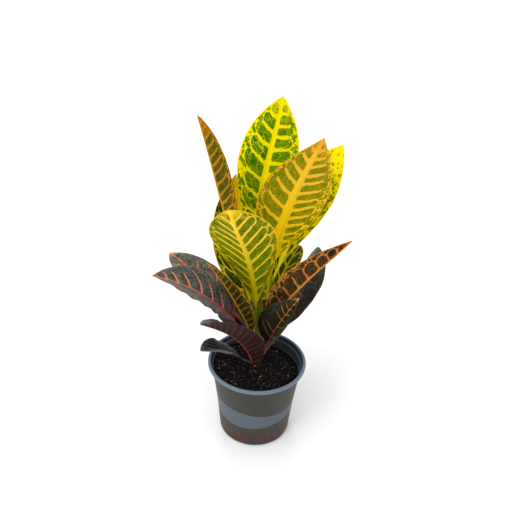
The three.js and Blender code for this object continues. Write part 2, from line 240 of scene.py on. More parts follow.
add_look(
    "green_gold", midrib_width=4.8, vein_width=2.0, vein_end=1.0, cell_end=0.78, edge_size=6.5,
    edge_wall=0.5, margin_width=1.5, fine_veins=0.6, spurs=0.8, mottle=0.2, softness=0.4,
    relief=-0.2, cell=(44, 108, 0), cell_2=(90, 136, 2), vein=(244, 218, 0),
    vein_tip=(240, 222, 0), midrib=(246, 218, 0), margin=(240, 224, 2), tip=(244, 222, 6),
)
add_look(
    "olive_gold", midrib_width=6.4, vein_width=2.2, vein_end=0.9, cell_end=0.84, edge_size=4.6,
    margin_width=1.0, fine_veins=0.4, spurs=0.7, mottle=0.12, tip_start=0.82, softness=0.4,
    cell=(112, 122, 0), cell_2=(140, 138, 0), vein=(248, 206, 4), vein_tip=(240, 184, 46),
    midrib=(248, 204, 4), margin=(226, 172, 14), tip=(232, 160, 36), stalk=(196, 194, 8),
)
add_look(
    "olive_lines", midrib_width=3.6, vein_width=1.9, vein_end=1.3, vein_reach=1.0, fork=1.1,
    cell_end=0.88, edge_size=3.2, edge_wall=0.3, margin_width=0.95, fine_veins=0.25, mottle=0.1,
    base_shade=0.24, cell=(80, 104, 0), cell_2=(112, 127, 0), vein=(208, 182, 4),
    vein_tip=(250, 206, 50), midrib=(190, 174, 0), margin=(238, 196, 28), tip=(248, 206, 40),
    stalk=(134, 156, 2),
)
add_look(
    "brown_orange", midrib_width=1.7, vein_width=1.35, vein_end=1.0, cell_end=0.84,
    edge_cells=0.6, margin_width=0.9, fine_veins=0.3, spurs=0.6, mottle=0.6, softness=0.5,
    cell=(70, 76, 6), cell_2=(86, 84, 14), vein=(190, 150, 50), vein_tip=(180, 124, 18),
    midrib=(200, 144, 24), margin=(160, 106, 8), tip=(200, 118, 4), stalk=(120, 110, 30),
)
add_look(
    "brown_cells", midrib_width=1.7, vein_width=0.95, vein_end=0.9, cell_end=0.7, edge_size=6.4,
    fine_veins=0.35, spurs=0.7, mottle=0.8, tip_start=0.93, softness=0.35, cell=(50, 40, 12),
    cell_2=(32, 32, 12), vein=(166, 114, 58), vein_tip=(190, 112, 44), midrib=(190, 136, 52),
    margin=(180, 108, 38), tip=(226, 104, 14), stalk=(110, 90, 30),
)
add_look(
    "brown_gold", midrib_width=1.2, vein_width=0.42, vein_end=0.35, cell_end=0.84,
    margin_width=0.6, spurs=0.8, mottle=0.6, cell=(45, 46, 2), cell_2=(24, 31, 2),
    vein=(150, 126, 26), vein_tip=(156, 108, 40), midrib=(200, 160, 14), margin=(176, 128, 28),
    tip=(196, 96, 44), stalk=(104, 100, 4),
)
add_look(
    "dark_gold", midrib_width=3.0, vein_width=1.5, vein_end=0.9, cell_end=0.7, edge_size=6.0,
    margin_width=1.2, fine_veins=0.15, spurs=0.6, relief=-0.2, shine=0.08, cell=(8, 58, 12),
    cell_2=(26, 74, 20), vein=(252, 232, 16), vein_tip=(240, 218, 16), midrib=(238, 222, 40),
    margin=(220, 196, 10), tip=(222, 190, 16), stalk=(120, 140, 30),
)
add_look(
    "moss_gold", like="dark_gold", midrib_width=2.2, vein_width=1.2, vein_end=0.8, cell_end=0.72,
    margin_width=1.0, mottle=0.35, shine=0.03, cell=(22, 60, 0), cell_2=(45, 77, 2),
    vein=(208, 196, 16), vein_tip=(180, 160, 10), midrib=(196, 182, 24), margin=(206, 168, 14),
    tip=(150, 132, 14), stalk=(104, 120, 16),
)
add_look(
    "deep_gold", like="dark_gold", vein_reach=4.0, cell_end=0.88, edge_wall=0.25,
    margin_width=0.9, fine_veins=0.3, spurs=0.4, flecks=0.7, pale_side=1.0, tip_start=0.88,
    shine=0.0, cell=(250, 208, 16), cell_2=(12, 58, 20), tip=(255, 216, 16), fleck=(28, 34, 8),
)
add_look(
    "bleached", midrib_width=2.4, vein_width=1.6, vein_end=1.2, cell_end=0.8, edge_size=5.6,
    edge_wall=0.7, margin_width=1.2, spurs=0.8, bleach=0.7, relief=-0.2, cell=(56, 92, 0),
    cell_2=(96, 118, 0), vein=(234, 212, 0), vein_tip=(236, 212, 0), midrib=(246, 236, 50),
    margin=(236, 212, 2), tip=(244, 220, 2), stalk=(120, 140, 12),
)
# the second cell colour, kept mostly to one side of the midrib, is a painted reflection: the
# grey-purple sheen of the half lit at a grazing angle
add_look(
    "slate_pink", midrib_width=1.6, vein_width=0.8, vein_end=0.4, vein_reach=0.7, vein_share=0.85,
    vein_start=0.2, loops=0.0, edge_cells=0.0, margin_width=0.45, fine_veins=0.12, spurs=0.6,
    flecks=0.7, mottle=1.0, pale_side=0.6, relief=-0.25, gloss=0.1, shine=0.2, cell=(44, 66, 59),
    cell_2=(112, 107, 107), vein=(222, 126, 108), vein_tip=(228, 140, 100), midrib=(214, 62, 82),
    margin=(176, 96, 98), tip=(160, 92, 86), fleck=(140, 144, 134), stalk=(90, 60, 60),
)
add_look(
    "slate_grey", like="slate_pink", tip_start=0.62, tip=(122, 126, 120),
)
add_look(
    "slate_orange", like="slate_pink", midrib_width=1.9, vein_width=0.65, vein_end=0.3,
    vein_reach=0.85, vein_share=0.35, vein_start=0.16, margin_width=0.3, flecks=0.9,
    pale_side=0.0, tip_start=0.9, base_shade=0.5, cell=(46, 60, 46), cell_2=(76, 88, 72),
    vein=(228, 136, 100), vein_tip=(234, 112, 84), midrib=(226, 66, 78), margin=(86, 84, 76),
    tip=(206, 140, 90), fleck=(160, 160, 138), stalk=(80, 70, 50),
)
# on this face the lighter tip colour is a painted highlight where the tip catches the light
add_look(
    "black_red", like="slate_pink", midrib_width=1.2, vein_end=0.2, vein_reach=0.6,
    vein_start=0.0, margin_width=0.5, fine_veins=0.05, spurs=0.4, flecks=0.8, mottle=0.9,
    pale_side=0.0, tip_start=0.66, gloss=0.12, cell=(54, 64, 56), cell_2=(38, 44, 38),
    vein=(196, 60, 70), vein_tip=(186, 62, 62), midrib=(176, 56, 54), margin=(160, 38, 50),
    tip=(76, 86, 80), fleck=(110, 116, 106), stalk=(60, 50, 44),
)
add_look(
    "black_green", like="black_red", midrib_width=0.8, vein_width=0.3, vein_end=0.15,
    vein_share=0.6, margin_width=0.3, flecks=0.6, tip_start=0.9, gloss=0.0, shine=0.08,
    cell=(24, 38, 26), cell_2=(14, 22, 16), vein=(90, 60, 44), vein_tip=(90, 66, 48),
    midrib=(110, 56, 48), margin=(70, 48, 42), tip=(60, 66, 56), fleck=(84, 92, 80),
    stalk=(56, 50, 40),
)
add_look(
    "black_orange", like="black_green", midrib_width=1.5, vein_width=0.24, vein_end=0.12,
    vein_reach=0.72, fine_veins=0.08, spurs=0.5, flecks=0.5, tip_start=0.94, relief=0.25,
    gloss=0.06, shine=0.14, cell=(22, 32, 18), cell_2=(15, 20, 14), vein=(160, 124, 60),
    vein_tip=(210, 150, 60), midrib=(198, 80, 54), margin=(84, 60, 46), tip=(206, 140, 50),
    fleck=(76, 78, 62), stalk=(112, 88, 72),
)
add_look(
    "burgundy", like="black_green", midrib_width=0.5, vein_end=0.16, vein_reach=1.1,
    vein_share=0.92, margin_width=0.4, fine_veins=0.08, spurs=0.2, flecks=0.0, softness=0.22,
    relief=0.25, shine=0.1, cell=(48, 26, 25), cell_2=(38, 22, 22), vein=(112, 50, 36),
    vein_tip=(112, 52, 42), midrib=(164, 78, 58), margin=(104, 40, 42), tip=(96, 86, 80),
    fleck=(110, 70, 70), stalk=(84, 58, 40),
)
# the pale vein lines of this face are painted highlights along the ridges of its folds
add_look(
    "grey_purple", like="black_orange", midrib_width=0.7, vein_width=0.45, vein_end=0.35,
    vein_reach=1.2, vein_share=1.0, margin_width=0.6, fine_veins=0.05, flecks=0.2, mottle=1.2,
    tip_start=0.86, softness=0.4, relief=0.4, gloss=0.08, cell=(38, 34, 35), cell_2=(22, 20, 20),
    vein=(90, 80, 82), vein_tip=(94, 82, 86), midrib=(96, 76, 80), margin=(132, 104, 108),
    tip=(96, 84, 86), fleck=(92, 86, 88), stalk=(92, 70, 68),
)


def linear(colour):
    """A shader colour from an sRGB one of 0 to 255."""
    values = [c / 255 for c in colour]
    return tuple(c / 12.92 if c <= 0.04045 else ((c + 0.055) / 1.055) ** 2.4 for c in values) + (1,)


class Field:
    """A value that varies over a surface, as the socket of the shader node that gives it."""

    def __init__(self, nodes, socket):
        self.nodes = nodes
        self.socket = socket

    def __add__(self, other):
        return self.nodes.math("ADD", self, other)

    def __sub__(self, other):
        return self.nodes.math("SUBTRACT", self, other)

    def __rsub__(self, other):
        return self.nodes.math("SUBTRACT", other, self)

    def __mul__(self, other):
        return self.nodes.math("MULTIPLY", self, other)

    def __truediv__(self, other):
        return self.nodes.math("DIVIDE", self, other)

    def __abs__(self):
        return self.nodes.math("ABSOLUTE", self)

    __radd__ = __add__
    __rmul__ = __mul__


class Nodes:
    """Builds shader nodes in a tree from arithmetic on fields, numbers and colours."""

    def __init__(self, tree):
        self.tree = tree

    def put(self, socket, value):
        if isinstance(value, Field):
            self.tree.links.new(value.socket, socket)
        else:
            socket.default_value = linear(value) if isinstance(value, tuple) else value

    def node(self, kind, inputs=None, **settings):
        made = self.tree.nodes.new(kind)
        for name, value in settings.items():
            setattr(made, name, value)
        for key, value in (inputs or {}).items():
            self.put(made.inputs[key], value)
        return made

    def out(self, made, key=0):
        return Field(self, made.outputs[key])

    def math(self, operation, *values):
        inputs = dict(enumerate(values))
        return self.out(self.node("ShaderNodeMath", inputs, operation=operation))

    def length(self, *parts):
        """The length of a vector from its parts."""
        return self.math("SQRT", sum(part * part for part in parts))

    def smooth(self, value, low, high):
        """0 at low, 1 at high and a smooth step between them."""
        inputs = {"Value": value, "From Min": low, "From Max": high}
        return self.out(self.node("ShaderNodeMapRange", inputs, interpolation_type="SMOOTHSTEP"))

    def below(self, value, limit, soft):
        """1 where a value is under a limit and 0 where it is over it, with a soft edge."""
        return self.smooth(value, limit + soft, limit - soft)

    def above(self, value, limit, soft):
        return self.smooth(value, limit - soft, limit + soft)

    def mix(self, share, first, second):
        inputs = {0: share, 2: first, 3: second}
        return self.out(self.node("ShaderNodeMix", inputs, data_type="FLOAT"))

    def blend(self, share, first, second):
        """A mix of two colours."""
        inputs = {0: share, 6: first, 7: second}
        return self.out(self.node("ShaderNodeMix", inputs, data_type="RGBA"), 2)

    def coat(self, colour, *coats):
        """A colour under coats of others, each given by its share and its colour."""
        for share, other in coats:
            colour = self.blend(share, colour, other)
        return colour

    def scale(self, colour, factor):
        inputs = {0: colour, 3: factor}
        return self.out(self.node("ShaderNodeVectorMath", inputs, operation="SCALE"))

    def combine(self, x, y, z):
        return self.out(self.node("ShaderNodeCombineXYZ", {0: x, 1: y, 2: z}))

    def split(self, vector):
        made = self.node("ShaderNodeSeparateXYZ", {0: vector})
        return [self.out(made, i) for i in range(3)]

    def attribute(self, name):
        return self.out(self.node("ShaderNodeAttribute", attribute_name=name), "Vector")

    def place(self):
        """The point on the object, in millimetres."""
        made = self.node("ShaderNodeTexCoord")
        return self.scale(self.out(made, "Object"), 1 / MM)

    def noise(self, vector, scale, detail=2.0, roughness=0.5):
        inputs = {"Vector": vector, "Scale": scale, "Detail": detail, "Roughness": roughness}
        return self.out(self.node("ShaderNodeTexNoise", inputs))

    def voronoi(self, vector, scale, feature="F1"):
        inputs = {"Vector": vector, "Scale": scale}
        return self.out(self.node("ShaderNodeTexVoronoi", inputs, feature=feature), "Distance")

    def specks(self, vector, scale, size, patch_scale, patch, detail=1.0):
        """Small round spots that gather in patches."""
        spots = self.smooth(self.voronoi(vector, scale), *size)
        return spots * self.smooth(self.noise(vector, patch_scale, detail), *patch)

    def chance(self, value):
        """A number from 0 to 1 that belongs to a value."""
        made = self.node("ShaderNodeTexWhiteNoise", {"W": value}, noise_dimensions="1D")
        return self.out(made)

    def floor(self, value):
        return self.math("FLOOR", value)

    def fraction(self, value):
        return self.math("FRACT", value)

    def largest(self, *values):
        result = values[0]
        for value in values[1:]:
            result = self.math("MAXIMUM", result, value)
        return result

    def finish(self, colour, roughness, shine, height=None):
        """Gives the material's shader its colour, gloss and bumps of a height in millimetres."""
        shader = self.tree.nodes["Principled BSDF"]
        self.put(shader.inputs["Base Color"], colour)
        self.put(shader.inputs["Roughness"], roughness)
        self.put(shader.inputs["Specular IOR Level"], shine)
        if height:
            inputs = {"Height": height, "Distance": MM, "Strength": 1.0}
            self.put(shader.inputs["Normal"], self.out(self.node("ShaderNodeBump", inputs)))


def new_material(name):
    """A material with its node helper."""
    material = bpy.data.materials.new(name)
    material.use_nodes = True
    return material, Nodes(material.node_tree)


def build_leaf_skin():
    """The node group that draws a croton's veins, cells and margin on a leaf's face.

    It reads three attributes: plan is the place on the flat blade and the half-width there, net
    numbers the lateral veins of each side and gives the share of the blade's length, and pitch
    is the spacing of the laterals of each side and a number that belongs to the leaf.
    """
    tree = bpy.data.node_groups.new("leaf_skin", "ShaderNodeTree")

    def add_sockets(side, kind, names):
        for name in names:
            tree.interface.new_socket(name, in_out=side, socket_type="NodeSocket" + kind)

    add_sockets("INPUT", "Float", PATTERN)
    add_sockets("INPUT", "Color", COLOURS)
    add_sockets("OUTPUT", "Color", ["Color"])
    add_sockets("OUTPUT", "Float", ["Roughness", "Height"])

    n = Nodes(tree)
    source = n.node("NodeGroupInput")
    given = SimpleNamespace(**{name: n.out(source, name) for name in (*PATTERN, *COLOURS)})
    soft = given.softness

    x, y, half = n.split(n.attribute("plan"))
    phase_minus, phase_plus, along = n.split(n.attribute("net"))
    pitch_minus, pitch_plus, seed = n.split(n.attribute("pitch"))
    plus = n.math("GREATER_THAN", y, 0.0)
    pitch = n.mix(plus, pitch_minus, pitch_plus)
    out = abs(y)
    reach = out / half
    spot = n.combine(x, y, seed)
    drift = n.noise(spot, 0.13) - 0.5
    grain = n.noise(spot, 0.75, 3.0) - 0.5
    fine_grain = n.noise(spot, 2.6, 3.0) - 0.5
    phase = n.mix(plus, phase_minus, phase_plus) + drift * 0.22

    # distances in millimetres from the middle of the cell and from the nearest lateral
    from_middle = abs(n.fraction(phase) - 0.5) * pitch
    from_vein = abs(n.fraction(phase + 0.5) - 0.5) * pitch
    cell_chance = n.chance(n.floor(phase) + plus * 57.0 + seed * 7.0)
    vein_chance = n.chance(n.floor(phase + 0.5) + plus * 91.0 + seed * 5.0)

    # the midrib, flared where a lateral leaves it
    flare = n.smooth(from_vein, pitch * 0.3, 0.0) * given.vein_width * 0.9
    rib_half = given.midrib_width * (1.0 - along * 0.68)
    rib_edge = rib_half + flare * n.smooth(reach, 0.9, 0.2)
    rib = n.below(out + grain * 0.5, rib_edge, soft)

    # a net of fine veins, drawn out along the laterals, thicker where it leaves a large vein
    fine_place = n.combine(phase * pitch * 0.3, out * 0.11 + drift * 0.3, seed)
    fine_walls = n.voronoi(fine_place, 1.0, "DISTANCE_TO_EDGE") + fine_grain * 0.03
    fine = n.smooth(fine_walls, 0.055, 0.015) * given.fine_veins
    spur_walls = n.voronoi(fine_place, 1.9, "DISTANCE_TO_EDGE") + fine_grain * 0.05
    spurs = n.smooth(spur_walls, 0.16, 0.02) * given.spurs

    # large cells between the laterals, each a box with a round outer end
    slim = given.vein_width * (1.0 - reach * 0.45)
    vein_half = n.mix(reach * reach * reach, slim, given.vein_end)
    room = n.largest(pitch * 0.5 - vein_half + grain * 0.9 - spurs * 1.1, 0.15)
    inner = rib_half + 0.5
    outer = half * (given.cell_end + cell_chance * 0.16 - 0.08)
    middle = (inner + outer) * 0.5
    is_outer = n.math("GREATER_THAN", out, middle)
    corner = room * n.mix(is_outer, 0.4, 0.95)
    across = from_middle - room + corner
    endways = (abs(out - middle) - (outer - inner) * 0.5) * 1.2 + corner
    inside = n.math("MINIMUM", n.largest(across, endways), 0.0)
    beyond = n.length(n.largest(across, 0.0), n.largest(endways, 0.0))
    looped = n.below(beyond + inside - corner, 0.0, soft)

    # on some leaves the laterals are open lines instead
    line_half = vein_half + spurs * 0.9 + grain * 0.5 * vein_half
    open_cells = n.above(from_vein, line_half, soft)
    cells = n.mix(given.loops, open_cells, looped)

    # a small cell in the fork at the end of each lateral
    fork_half = pitch * (vein_chance * 0.12 + 0.13) * given.fork
    fork_out = (out - half * (given.cell_end + 0.04)) / (half * 0.13 * given.fork)
    fork = n.length(fork_out, from_vein / fork_half) - 1.0
    fork_cells = n.below((fork + grain * 0.5) * fork_half, 0.0, soft) * given.loops

    # a net of still smaller cells along the margin
    edge_place = n.combine(x / given.edge_size, (half - out) / given.edge_size * 1.1, seed)
    edge_walls = n.voronoi(edge_place, 1.0, "DISTANCE_TO_EDGE") * given.edge_size
    edge_cells = n.smooth(edge_walls + grain * 0.4, given.edge_wall, given.edge_wall + 0.4)
    edge_zone = n.smooth(out, outer + 0.9, outer + 1.5)
    green = n.largest(cells, fork_cells, edge_cells * edge_zone * given.edge_cells)

    # veins that start late or fade out early, and laterals that don't show at all
    one_side = given.pale_side * (1.0 - plus)
    own_reach = given.vein_reach * (vein_chance * 0.5 + 0.7 - one_side * 0.5)
    faded = n.smooth(reach + drift * 0.5 + grain * 0.15, own_reach - 0.14, own_reach + 0.1)
    missing = n.math("GREATER_THAN", n.fraction(vein_chance * 7.0), given.vein_share)
    before = n.smooth(along, given.vein_start, given.vein_start - 0.08)
    green = n.largest(green, faded, missing, before)

    # the bleached end of a leaf keeps only scattered green spots
    bleached = n.smooth(along + drift * 0.9, given.bleach - 0.1, given.bleach + 0.12)
    spots = n.smooth(n.noise(spot, 0.25, 0.0), 0.59, 0.64)
    green = n.mix(bleached, green, spots * n.mix(green, 0.75, 1.0))

    margin = n.below(half - out + grain * 0.8 + drift, given.margin_width, soft)
    stalk = n.smooth(x, 7.0, -5.0)
    # specks in the fleck colour: real dark spots on the gold faces, painted glints of light on the
    # slate and black faces
    flecks = n.specks(spot, 0.62, (0.4, 0.2), 0.34, (0.45, 0.58)) * given.flecks
    tip = n.smooth(along + drift * 0.2, given.tip_start, 1.02)

    # cells in two tones, one of which may keep to one side of the midrib
    mottle = (n.noise(spot, 0.5, 3.0, 0.65) - 0.5) * 4.0
    any_side = n.smooth(drift + mottle * 0.15, -0.2, 0.2) * (1.0 - given.pale_side)
    cell_colour = n.blend(n.largest(any_side, one_side), given.cell, given.cell_2)
    # the mottle brightens and darkens the cells: real mottling, and on the dark glossy faces painted
    # sheen
    cell_colour = n.scale(cell_colour, n.largest(1.0 + mottle * given.mottle, 0.3))
    vein_colour = n.blend(n.smooth(along, 0.1, 0.8), given.vein, given.vein_tip)
    vein_colour = n.scale(vein_colour, 1.0 + mottle * given.mottle * 0.2)
    rib_colour = n.blend(n.smooth(along, 0.2, 1.0), given.midrib, given.vein_tip)
    colour = n.coat(
        vein_colour, (green, cell_colour), (fine * green, vein_colour), (flecks, given.fleck),
        (rib, rib_colour), (margin, given.margin), (tip * 0.85, given.tip), (stalk, given.stalk),
    )
    groove = n.smooth(out, 0.5, 0.2) * n.smooth(x, 0.0, 10.0)
    shade = 1.0 + grain * 0.28 + fine_grain * 0.22 + groove * 0.14
    colour = n.scale(colour, shade * (1.0 - n.smooth(along, 0.6, 0.1) * given.base_shade))

    roughness = 0.42 + grain * 0.16 + fine_grain * 0.1 - given.gloss
    vein_height = n.largest(1.0 - green, rib, fine * 0.35) * given.relief
    height = vein_height + drift * 0.5 + grain * 0.1 + fine_grain * 0.05 + mottle * 0.1
    n.node("NodeGroupOutput", {"Color": colour, "Roughness": roughness, "Height": height})
    return tree


def leaf_material(name, look, skin):
    """The material for one kind of leaf face."""
    material, n = new_material(name)
    drawn = n.node("ShaderNodeGroup", node_tree=skin)
    for key in (*PATTERN, *COLOURS):
        n.put(drawn.inputs[key], look[key])
    colour, roughness, height = (n.out(drawn, key) for key in ("Color", "Roughness", "Height"))
    n.finish(colour, roughness, look["shine"], height)
    return material


def add_object(name, data):
    made = bpy.data.objects.new(name, data)
    bpy.context.scene.collection.objects.link(made)
    return made


def new_piece(name, points, faces, material, *others):
    """A mesh object from points in millimetres."""
    mesh = bpy.data.meshes.new(name)
    mesh.from_pydata((np.asarray(points, float) * MM).tolist(), [], faces)
    for slot in (material, *others):
        mesh.materials.append(slot)
    mesh.polygons.foreach_set("use_smooth", [True] * len(mesh.polygons))
    mesh.update()
    return add_object(name, mesh)


def dress(piece, slot, *nodes):
    """The piece rides on the plant's one body and stands for the given nodes."""
    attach(piece, "root")
    if nodes:
        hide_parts(*nodes)


def smoothstep(value, low, high):
    share = np.clip((value - low) / (high - low), 0, 1)
    return share * share * (3 - 2 * share)


def stem_radius(height):
    return np.interp(height, *zip(*STEM_SHAPE))


def outline(along, full, end):
    """Share of the full half-width at a place along the blade."""
    widest = full / (full + end)
    return (along / widest) ** full * ((1 - along) / (1 - widest)) ** end


def midrib(leaf_):
    """Points along the leaf's midrib with the directions to its side and out of its face."""
    share = np.linspace(0, 1, CURVE_STEPS + 1)
    length = leaf_.petiole + leaf_.blade
    heel = np.clip(1 - share * length / HEEL_LENGTH, 0, None) ** 2
    late = np.clip((share - 0.7) / 0.3, 0, None) ** 1.5
    bend = leaf_.lean + leaf_.arch * share**1.5 + leaf_.hook * late
    lean = np.radians(bend + (HEEL_LEAN - leaf_.lean) * heel)
    turn = np.radians(leaf_.azimuth + leaf_.sweep * share)
    level = np.stack([np.cos(turn), np.sin(turn), 0 * turn], -1)
    along = np.sin(lean)[:, None] * level + np.cos(lean)[:, None] * np.array([0, 0, 1])
    side = np.stack([np.sin(turn), -np.cos(turn), 0 * turn], -1)
    roll = -np.radians(leaf_.roll + leaf_.twist * share)[:, None]
    side = side * np.cos(roll) + np.cross(along, side) * np.sin(roll)
    face = np.cross(side, along)
    start = stem_radius(leaf_.height) + HEEL_OFFSET
    first = np.append(start * level[0][:2], SOIL_Z + leaf_.height)
    steps = (along[1:] + along[:-1]) / 2 * length / CURVE_STEPS
    points = first + np.vstack([np.zeros(3), np.cumsum(steps, 0)])
    return share, points, side, face


def wobble(first, second, draws):
    """Slow random waves over two coordinates in millimetres, from about -1 to 1."""
    total = 0
    for size in (34.0, 21.0, 13.0):
        start = draws.uniform(0, FULL_TURN, 2)
        pull = draws.uniform(0.6, 1.0)
        across = np.sin(first / size * FULL_TURN + start[0])
        total = total + pull * across * np.cos(second / size * FULL_TURN + start[1])
    return total / 2


def lateral_veins(leaf_, count, angle, x, out, half, draws):
    """The number of the lateral through each point, whole on a vein, and the laterals' pitch."""
    blade = leaf_.blade
    gaps = 1 + 0.35 * np.sin(np.linspace(0.3, 2.9, count)) + draws.uniform(-0.16, 0.16, count)
    starts = np.cumsum(gaps) / np.sum(gaps) * 0.96 * blade
    starts = np.concatenate([starts[0] - (starts[1] - starts[0]) * np.arange(9, 0, -1), starts])
    starts = np.append(starts, starts[-1] + (starts[-1] - starts[-2]) * np.arange(1, 4))
    lean = 1 / math.tan(math.radians(angle))
    bow = 0.32 * out**2 / np.maximum(half, 1)
    start = x - out * lean * (0.8 + 0.5 * x / blade) - bow + 0.7 * wobble(x, out, draws)
    phase = np.interp(start, starts, np.arange(len(starts)))
    middles = (starts[1:] + starts[:-1]) / 2
    pitch = np.interp(start, middles, np.diff(starts)) * math.sin(math.radians(angle))
    return phase, pitch


def wrap(row_count, ring_count):
    """The point numbers of a row of closed rings, and the quads between the rings."""
    index = np.arange(row_count * ring_count).reshape(row_count, ring_count)
    following = np.roll(index, -1, 1)
    quads = np.stack([index[:-1], following[:-1], following[1:], index[1:]], -1)
    return index, quads.reshape(-1, 4).tolist()


def make_leaf(leaf_, number, materials):
    """A leaf with its stalk: a thin blade with a keel, quilted between the laterals."""
    draws = np.random.default_rng(100 + number)
    share, points, side, face = midrib(leaf_)
    petiole, blade = leaf_.petiole, leaf_.blade
    stalk_rows = np.linspace(0, petiole, PETIOLE_ROWS, endpoint=False)
    rows = np.concatenate([stalk_rows, petiole + blade * np.linspace(0, 1, BLADE_ROWS)])
    along = np.clip((rows - petiole) / blade, 0, 1)

    def at_rows(values):
        place = rows / (petiole + blade)
        return np.stack([np.interp(place, share, values[:, i]) for i in range(3)], -1)

    points, side, face = at_rows(points), at_rows(side), at_rows(face)
    first_step = points[1] - points[0]
    points[0] -= STALK_ROOT * first_step / np.linalg.norm(first_step)

    opening = smoothstep(along, 0, FOLD_LENGTH)
    stalk = PETIOLE_RADIUS * (1 - 0.8 * np.clip(along * 1.2, 0, 1))
    half = np.maximum(stalk, leaf_.width / 2 * outline(along, leaf_.full, leaf_.end))
    fold = np.radians(leaf_.fold) * opening

    # columns across the blade, closer together at the midrib
    columns = np.linspace(-1, 1, 2 * HALF_COLUMNS + 1)
    columns = np.sign(columns) * np.abs(columns) ** 1.2
    across = columns[None, :]
    away = np.abs(across)
    out = away * half[:, None]
    x = np.repeat((rows - petiole)[:, None], len(columns), 1)
    half_grid = np.repeat(half[:, None], len(columns), 1)
    minus, pitch_minus = lateral_veins(leaf_, *leaf_.veins[:2], x, out, half_grid, draws)
    plus, pitch_plus = lateral_veins(leaf_, *leaf_.veins[2:], x, out, half_grid, draws)
    phase = np.where(across > 0, plus, minus)

    # relief of the blade, towards its upper face
    open_grid = opening[:, None]
    arch = 4 * away * (1 - away)
    quilt = (np.sin(math.pi * (phase % 1)) ** 2 - 0.5) * arch * QUILT_DEPTH
    swing = wobble(x * 0.8, 9 * np.sign(across) + 0 * x, draws)
    waves = leaf_.wave * swing * away**2.5 * np.sin(math.pi * along)[:, None]
    camber = CAMBER * half_grid * arch
    lift = (quilt + waves + camber) * open_grid

    # depths above and below the midrib's line, from the round stalk to the thin blade
    keel = np.exp(-((out / KEEL_WIDTH) ** 2))
    stalk_depth = 2 * PETIOLE_RADIUS * np.sqrt(1 - 0.84 * across**2) * (1 - open_grid)
    thin = EDGE_THICKNESS * away + MIDDLE_THICKNESS * (1 - away)
    up = 0.4 * stalk_depth + open_grid * (0.45 * thin - 0.12 * keel)
    keel_depth = (KEEL_DEPTH - 0.6 * along)[:, None] * keel
    down = 0.6 * stalk_depth + open_grid * (0.55 * thin + keel_depth)

    half_side = np.sign(across)
    cos_fold, sin_fold = np.cos(fold)[:, None], np.sin(fold)[:, None]

    def surface(depth):
        rise = lift + depth
        sideways = half_side * (out * cos_fold - rise * sin_fold)
        upward = out * sin_fold + rise * np.where(half_side == 0, 1, cos_fold)
        along_side = sideways[..., None] * side[:, None, :]
        return points[:, None, :] + along_side + upward[..., None] * face[:, None, :]

    upper, lower = surface(up), surface(-down)
    bulge = RIM_BULGE * (half_side * cos_fold)[..., None] * side[:, None, :]
    rim = (upper + lower) / 2 + bulge
    ring = np.concatenate([upper, rim[:, -1:], lower[:, ::-1], rim[:, :1]], 1)
    row_count, ring_count = ring.shape[:2]
    index, faces = wrap(row_count, ring_count)
    faces += [index[0][::-1].tolist(), index[-1].tolist()]
    piece = new_piece(leaf_.name + "_grown", ring.reshape(-1, 3), faces, *materials)

    is_under = np.arange(ring_count) >= len(columns)
    slots = np.concatenate([np.tile(is_under, row_count - 1), [True, True]]).astype(int)
    piece.data.polygons.foreach_set("material_index", slots)

    def around(values):
        return np.concatenate([values, values[:, -1:], values[:, ::-1], values[:, :1]], 1)

    flat = around(across) * half[:, None]
    ones = np.ones_like(flat)
    store(piece, "plan", around(x), flat, around(half_grid))
    store(piece, "net", around(minus), around(plus), ones * along[:, None])
    store(piece, "pitch", around(pitch_minus), around(pitch_plus), ones * number)
    unwrap(piece, row_count, ring_count)
    return piece


def store(piece, name, *parts):
    """A vector attribute of a mesh's points from three arrays."""
    values = np.stack([part.reshape(-1) for part in parts], -1).astype(np.float32)
    made = piece.data.attributes.new(name, "FLOAT_VECTOR", "POINT")
    made.data.foreach_set("vector", values.reshape(-1))


def unwrap(piece, row_count, ring_count):
    """A map of the leaf's faces laid out as a flat grid, with its two end caps beside it."""
    layer = piece.data.uv_layers.new(name="OFBake")
    cells = np.arange((row_count - 1) * ring_count)
    row_and_column = np.stack(np.divmod(cells, ring_count), -1)
    corners = np.array([(0, 0), (0, 1), (1, 1), (1, 0)])
    grid = (row_and_column[:, None] + corners) / (row_count, ring_count + 4)
    turn = np.linspace(0, FULL_TURN, ring_count, endpoint=False)
    circle = np.stack([np.cos(turn), np.sin(turn)], -1) * CAP_RADIUS
    first_cap = circle * (1, -1) + CAP_PLACES[0]
    last_cap = circle + CAP_PLACES[1]
    places = np.concatenate([grid.reshape(-1, 2), first_cap, last_cap])
    layer.data.foreach_set("uv", places.reshape(-1).astype(np.float32))


def turned(profile, sides):
    """Points and faces of a turned solid from its profile, which starts and ends on the axis."""
    turn = np.linspace(0, FULL_TURN, sides, endpoint=False)
    circle = np.stack([np.cos(turn), np.sin(turn)], -1)
    rings = profile[1:-1]
    points = [(radius * c, radius * s, height) for radius, height in rings for c, s in circle]
    index, faces = wrap(len(rings), sides)
    for (_, height), ring in ((profile[0], index[0][::-1]), (profile[-1], index[-1])):
        faces += [[len(points), *pair] for pair in zip(ring.tolist(), np.roll(ring, -1).tolist())]
        points.append((0, 0, height))
    return np.array(points), faces


